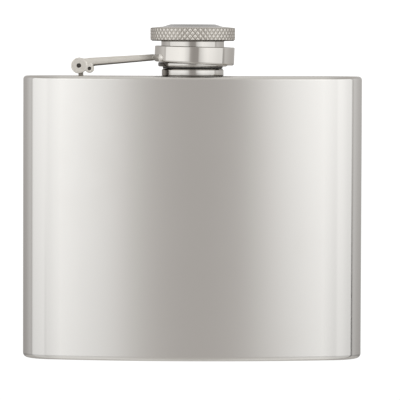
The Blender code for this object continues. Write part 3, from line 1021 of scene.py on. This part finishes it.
# Painted shade: faces turned downwards are painted dark, for the shade under the lever.
facing = add_node(tree, "TexCoord", "which way it faces")
lift = add_node(tree, "SeparateXYZ", "facing up or down", {0: facing.outputs["Normal"]})
underside_shade_mask = add_node(
    tree,
    "MapRange",
    "undersides painted in shade",
    {"Value": lift.outputs["Z"], "From Min": -0.45, "From Max": -0.85},
)
painted_under_shade = add_node(
    tree,
    "Mix",
    "painted shade on undersides",
    {0: underside_shade_mask.outputs[0], 6: plated, 7: (0.13, 0.115, 0.10, 1)},
    data_type="RGBA",
)
spot = add_node(tree, "TexCoord", "place on the lever")
along = add_node(tree, "SeparateXYZ", "along the lever", {0: spot.outputs["Object"]})
near_braze = add_node(
    tree, "MapRange", "near the brazing",
    {"Value": along.outputs["X"], "From Min": -0.0150, "From Max": -0.0118}
)
tint = add_node(
    tree, "Math", "share of the heat tint",
    {0: near_braze.outputs[0], 1: 0.62}, operation="MULTIPLY"
)
heated = add_node(
    tree, "Mix", "heat tint", {0: tint.outputs[0], 6: painted_under_shade.outputs[2], 7: (0.22, 0.20, 0.175, 1)},
    data_type="RGBA",
)
tree.links.new(heated.outputs[2], shader.inputs["Base Color"])
bar_end = collar_x - collar_radius - 0.0002
lever = casting(
    "lever",
    [
        rounded_bar(hinge.x, bar_end),
        disc_along_y(hinge, ear_radius, fork_width),
        disc_along_y(rivet, lug_radius, fork_width * 0.96),
        yoke_pad(radians(33), yoke_foot, yoke_height),
    ],
    [
        box_between(
            hinge + Vector((-0.003, -0.0012, -0.004)), hinge + Vector((0.0025, 0.0012, 0.004))
        ),
        disc_along_y(hinge, 0.00065, 0.01, 40),
        disc_along_y(rivet, 0.00052, 0.01, 32),
    ],
    cast_nickel,
    voxel=0.00013,
    smoothing=10,
)
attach(lever, "lever")
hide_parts("lever_arm")


# The brazing. A bead of silver solder stands at each end of the yoke, where it wetted the collar's
# side and set in a smooth round drop. Its near-white brightness is a painted highlight on the yoke's ends.
solder_and_highlight = steel(
    "silver_solder_painted_highlight",
    colour=(0.980, 0.955, 0.915),
    tarnish=(0.860, 0.820, 0.760),
    roughness=0.30,
    unevenness=0.05,
    patch=0.0012,
    grain=0.000006,
)
solder_and_highlight.node_tree.nodes["Principled BSDF"].inputs["Metallic"].default_value = 0.35


def solder_bead(name, bearing, half_width, half_height, deep):
    """A drop on the collar's side at a bearing, bulging outwards and sunk a little into it."""
    shape = bmesh.new()
    around, tiers = 40, 24
    rings = []
    for i in range(1, tiers):
        level = pi * i / tiers
        turns = [2 * pi * j / around for j in range(around)]
        rings.append([shape.verts.new((sin(level) * cos(t), sin(level) * sin(t), cos(level))) for t in turns])
    bridge(shape, rings, capped=False)
    for tip, ring in ((shape.verts.new((0, 0, 1)), rings[0]), (shape.verts.new((0, 0, -1)), rings[-1])):
        for j in range(around):
            shape.faces.new((tip, ring[j - 1], ring[j]))
    for vertex in shape.verts:
        out, along, up = vertex.co
        slump = 1 + 0.12 * along - 0.08 * up
        angle = bearing + half_width * along / collar_radius
        radius = collar_radius + deep * (out if out > 0 else out * 0.3) * slump
        vertex.co = Vector(
            (
                collar_x + radius * cos(angle),
                neck_y + radius * sin(angle),
                bead_middle + half_height * up * (1 - 0.1 * along),
            )
        )
    bead = close_and_name(shape, name, solder_and_highlight, 60)
    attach(bead, "lever")
    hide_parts("lever_arm")


solder_bead("braze_bead_front", radians(212.5), 0.00135, 0.00100, 0.00050)
solder_bead("braze_bead_back", radians(147.5), 0.00125, 0.00090, 0.00045)


# The pin and the rivet. Both are plain steel, dropped in from the front and peened over, so each
# sits a little below the ear it closes. Their near-black colour is painted shade, for the shadow in
# the holes they close.
dark_steel = steel(
    "dark_steel",
    colour=(0.100, 0.092, 0.085),
    tarnish=(0.060, 0.052, 0.045),
    roughness=0.40,
    unevenness=0.08,
    patch=0.0006,
    grain=0.000004,
)


def peened_pin(name, centre, radius, length, node, body):
    half_length = length / 2
    corners = [
        (0, half_length, 0),
        (radius, half_length, radius * 0.4),
        (radius, -half_length, radius * 0.4),
        (0, -half_length, 0),
    ]
    pin = turned(name, rounded(corners), dark_steel, steps=48)
    pin.data.transform(Matrix.Rotation(radians(90), 4, "X"))
    pin.data.transform(Matrix.Translation(centre))
    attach(pin, body)
    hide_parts(node)
    return pin


peened_pin("pivot_pin", hinge, 0.00060, fork_width - 0.0005, "hinge_pin", "flask")
peened_pin("fork_stud", rivet, 0.00048, fork_width - 0.0007, "fork_rivet", "lever")


# The hinge post. It is a small turned post with a flat eye, resistance welded upright to the
# shoulder, and plated; its colour is painted far darker than the lever's, as painted shade.
post_half = 0.0009
post_x = hinge.x + 0.0005
post_steel_shaded = steel(
    "post_steel_shaded",
    colour=(0.360, 0.335, 0.300),
    tarnish=(0.220, 0.195, 0.165),
    roughness=0.35,
    unevenness=0.06,
    patch=0.001,
    grain=0.000006,
)
post = casting(
    "post",
    [
        box_between(
            Vector((post_x - 0.00068, neck_y - post_half, height - 0.0001)),
            Vector((post_x + 0.00068, neck_y + post_half, hinge.z)),
        ),
        disc_along_y(hinge, 0.00138, 2 * post_half),
    ],
    [disc_along_y(hinge, 0.00063, 0.01, 40)],
    post_steel_shaded,
    voxel=0.0001,
    smoothing=3,
)
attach(post, "flask")
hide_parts("hinge_post")


# The studio. A plain white floor, a wide soft box on each side of the camera, and grey card
# above, below and behind, so that polished steel shows a broad bright sweep and a soft dark
# line down its middle.
floor_mesh = bpy.data.meshes.new("floor")
reach = 3.0
floor_mesh.from_pydata(
    [(-reach, -reach, 0), (reach, -reach, 0), (reach, reach, 0), (-reach, reach, 0)], [], [(0, 1, 2, 3)]
)
floor = bpy.data.objects.new("floor", floor_mesh)
floor.location.z = -0.00005
floor.visible_glossy = False
bpy.context.scene.collection.objects.link(floor)
floor_paint = bpy.data.materials.new("floor_paint")
floor_paint.use_nodes = True
tree = floor_paint.node_tree
matt_white = tree.nodes["Principled BSDF"]
matt_white.inputs["Base Color"].default_value = (0.55, 0.54, 0.53, 1)
matt_white.inputs["Roughness"].default_value = 1.0
matt_white.inputs["Specular IOR Level"].default_value = 0.0
seen = add_node(tree, "LightPath", "what looks at the floor")
glow = add_node(tree, "Emission", "bright white sweep", {"Color": (1, 1, 1, 1), "Strength": 1.05})
shown = add_node(
    tree, "MixShader", "white to the eye",
    {0: seen.outputs["Is Camera Ray"], 1: matt_white.outputs[0], 2: glow.outputs[0]}
)
tree.links.new(shown.outputs[0], tree.nodes["Material Output"].inputs["Surface"])
floor_mesh.materials.append(floor_paint)

world = bpy.data.worlds.new("studio")
bpy.context.scene.world = world
world.use_nodes = True
tree = world.node_tree
tree.nodes.clear()
way = add_node(tree, "TexCoord", "direction")
parts = add_node(tree, "SeparateXYZ", "its parts", {0: way.outputs["Generated"]})
towards = add_node(tree, "Math", "towards the front", {0: parts.outputs["Y"], 1: -1.0}, operation="MULTIPLY")
bearing = add_node(
    tree, "Math", "bearing from the front",
    {0: parts.outputs["X"], 1: towards.outputs[0]}, operation="ARCTAN2"
)
up = add_node(tree, "Math", "height angle", {0: parts.outputs["Z"]}, operation="ARCSINE")
leaning = add_node(
    tree,
    "MapRange",
    "the right box leans",
    {"Value": up.outputs[0], "From Min": radians(-1.1), "From Max": radians(-2.4), "To Max": radians(2.6)},
)
right_edge = add_node(
    tree, "MapRange", "from its inner edge",
    {"Value": bearing.outputs[0], "From Min": radians(11), "From Max": radians(15)}
)
right_middle = add_node(
    tree, "MapRange", "to its middle",
    {"Value": bearing.outputs[0], "From Min": radians(42), "From Max": radians(30)}
)
near_edge = add_node(
    tree, "Math", "near that edge",
    {0: right_edge.outputs[0], 1: right_middle.outputs[0]}, operation="MULTIPLY"
)
lean = add_node(
    tree, "Math", "lean here",
    {0: leaning.outputs[0], 1: near_edge.outputs[0]}, operation="MULTIPLY"
)
bearing_on_boxes = add_node(
    tree, "Math", "bearing on the boxes", {0: bearing.outputs[0], 1: lean.outputs[0]}, operation="SUBTRACT"
)
share = add_node(
    tree,
    "MapRange",
    "share of the turn",
    {"Value": bearing_on_boxes.outputs[0], "From Min": -pi, "From Max": pi},
)
boxes = add_node(tree, "ValToRGB", "soft boxes", {"Fac": share.outputs[0]})
cards = [
    (-180, 0.58),
    (-150, 0.47),
    (-130, 0.53),
    (-124, 0.56),
    (-103, 0.73),
    (-92, 0.66),
    (-90, 1.08),
    (-79, 1.13),
    (-40, 1.22),
    (-30, 1.17),
    (-18, 0.91),
    (-15, 0.76),
    (-12, 0.54),
    (-9, 0.45),
    (-5, 0.40),
    (0, 0.385),
    (10, 0.40),
    (12, 0.56),
    (14, 0.76),
    (20, 0.98),
    (28, 1.17),
    (37, 1.265),
    (52, 1.235),
    (74, 1.11),
    (88, 1.10),
    (91, 0.62),
    (97, 0.65),
    (100, 0.77),
    (121, 0.64),
    (150, 0.52),
    (180, 0.58),
]


def card_colour(brightness):
    """The dimmer the card, the warmer it looks."""
    warmth = max(0.0, 1 - brightness / 0.9)
    return (brightness, brightness * (1 - 0.08 * warmth), brightness * (1 - 0.01 - 0.13 * warmth), 1)


ramp = boxes.color_ramp
for number, (degrees, brightness) in enumerate(cards):
    position = degrees / 360 + 0.5
    if number < 2:
        stop = ramp.elements[number]
        stop.position = position
    else:
        stop = ramp.elements.new(position)
    stop.color = card_colour(brightness)
above = add_node(
    tree,
    "MapRange",
    "up past the boxes",
    {"Value": up.outputs[0], "From Min": radians(26), "From Max": radians(36)},
    interpolation_type="SMOOTHSTEP",
)
ceiling_card = add_node(
    tree,
    "Mix",
    "grey card above",
    {0: above.outputs[0], 6: boxes.outputs["Color"], 7: (0.52, 0.50, 0.47, 1)},
    data_type="RGBA",
)
sideways = add_node(tree, "Math", "bearing either way", {0: bearing.outputs[0]}, operation="ABSOLUTE")
on_boxes = add_node(
    tree,
    "MapRange",
    "on the boxes",
    {"Value": sideways.outputs[0], "From Min": radians(9), "From Max": radians(20)},
)
down = add_node(
    tree,
    "MapRange",
    "down the boxes",
    {"Value": up.outputs[0], "From Min": 0.0, "From Max": radians(-10), "To Max": 0.46},
)
loss = add_node(
    tree, "Math", "dimmer low down", {0: on_boxes.outputs[0], 1: down.outputs[0]}, operation="MULTIPLY"
)
left_outer = add_node(
    tree,
    "MapRange",
    "the left box holds its light further out",
    {"Value": bearing.outputs[0], "From Min": radians(-22), "From Max": radians(-26),
     "To Min": 1.0, "To Max": 0.90},
)
fall = add_node(
    tree, "Math", "fall of light",
    {0: loss.outputs[0], 1: left_outer.outputs[0]}, operation="MULTIPLY"
)
lit = add_node(
    tree,
    "Mix",
    "boxes with their falling light",
    {0: fall.outputs[0], 6: ceiling_card.outputs[2], 7: (0, 0, 0, 1)},
    data_type="RGBA",
)
below = add_node(
    tree,
    "MapRange",
    "down past the boxes",
    {"Value": up.outputs[0], "From Min": radians(-14), "From Max": radians(-25)},
    interpolation_type="SMOOTHSTEP",
)
table = add_node(
    tree,
    "Mix",
    "pale table under the boxes",
    {0: 0.35, 6: (0.46, 0.445, 0.42, 1), 7: boxes.outputs["Color"]},
    data_type="RGBA",
)
with_table = add_node(
    tree,
    "Mix",
    "table below",
    {0: below.outputs[0], 6: lit.outputs[2], 7: table.outputs[2]},
    data_type="RGBA",
)
overhead = add_node(
    tree,
    "MapRange",
    "straight overhead",
    {"Value": up.outputs[0], "From Min": radians(52), "From Max": radians(74)},
    interpolation_type="SMOOTHSTEP",
)
with_top = add_node(
    tree,
    "Mix",
    "soft light overhead",
    {0: overhead.outputs[0], 6: with_table.outputs[2], 7: (0.62, 0.61, 0.59, 1)},
    data_type="RGBA",
)


def light_stand(before, bearing_at, half_width, top, foot, strength):
    """The dark leg of a light stand: a narrow upright low down at one bearing."""
    off = add_node(
        tree, "Math", "off the stand",
        {0: bearing.outputs[0], 1: radians(bearing_at)}, operation="SUBTRACT"
    )
    either_side = add_node(tree, "Math", "either side", {0: off.outputs[0]}, operation="ABSOLUTE")
    wide = add_node(
        tree,
        "MapRange",
        "its width",
        {
            "Value": either_side.outputs[0],
            "From Min": radians(half_width * 1.4),
            "From Max": radians(half_width * 0.7),
        },
    )
    low = add_node(
        tree, "MapRange", "its height",
        {"Value": up.outputs[0], "From Min": radians(top), "From Max": radians(foot)}
    )
    here = add_node(tree, "Math", "the stand", {0: wide.outputs[0], 1: low.outputs[0]}, operation="MULTIPLY")
    shade = add_node(tree, "Math", "how dark", {0: here.outputs[0], 1: strength}, operation="MULTIPLY")
    return add_node(
        tree, "Mix", "with the stand", {0: shade.outputs[0], 6: before, 7: (0, 0, 0, 1)}, data_type="RGBA"
    ).outputs[2]


with_stands = light_stand(with_top.outputs[2], -39, 4.0, -2.6, -4.6, 0.12)
with_stands = light_stand(with_stands, 91, 2.0, -1.5, -4.6, 0.85)
seen = add_node(tree, "LightPath", "what looks at the backdrop")
backdrop = add_node(
    tree,
    "Mix",
    "white behind",
    {0: seen.outputs["Is Camera Ray"], 6: with_stands, 7: (1.05, 1.05, 1.05, 1)},
    data_type="RGBA",
)
shine = add_node(tree, "Background", "studio light", {"Color": backdrop.outputs[2], "Strength": 1.12})
end = add_node(tree, "OutputWorld", "world")
tree.links.new(shine.outputs[0], end.inputs["Surface"])
bpy.context.scene.view_settings.view_transform = "Standard"

lens_camera = bpy.data.cameras.new("camera")
lens_camera.lens = 321.5
lens_camera.sensor_width = 36
lens_camera.clip_start = 0.05
lens_camera.clip_end = 20
camera = bpy.data.objects.new("camera", lens_camera)
tilt_down = radians(2.727)
roll = radians(0.197)
camera.location = (0.00218, -1.0, 0.092)
camera.rotation_euler = (
    Matrix.Rotation(radians(90) - tilt_down, 4, "X") @ Matrix.Rotation(roll, 4, "Z")
).to_euler()
bpy.context.scene.collection.objects.link(camera)
bpy.context.scene.camera = camera
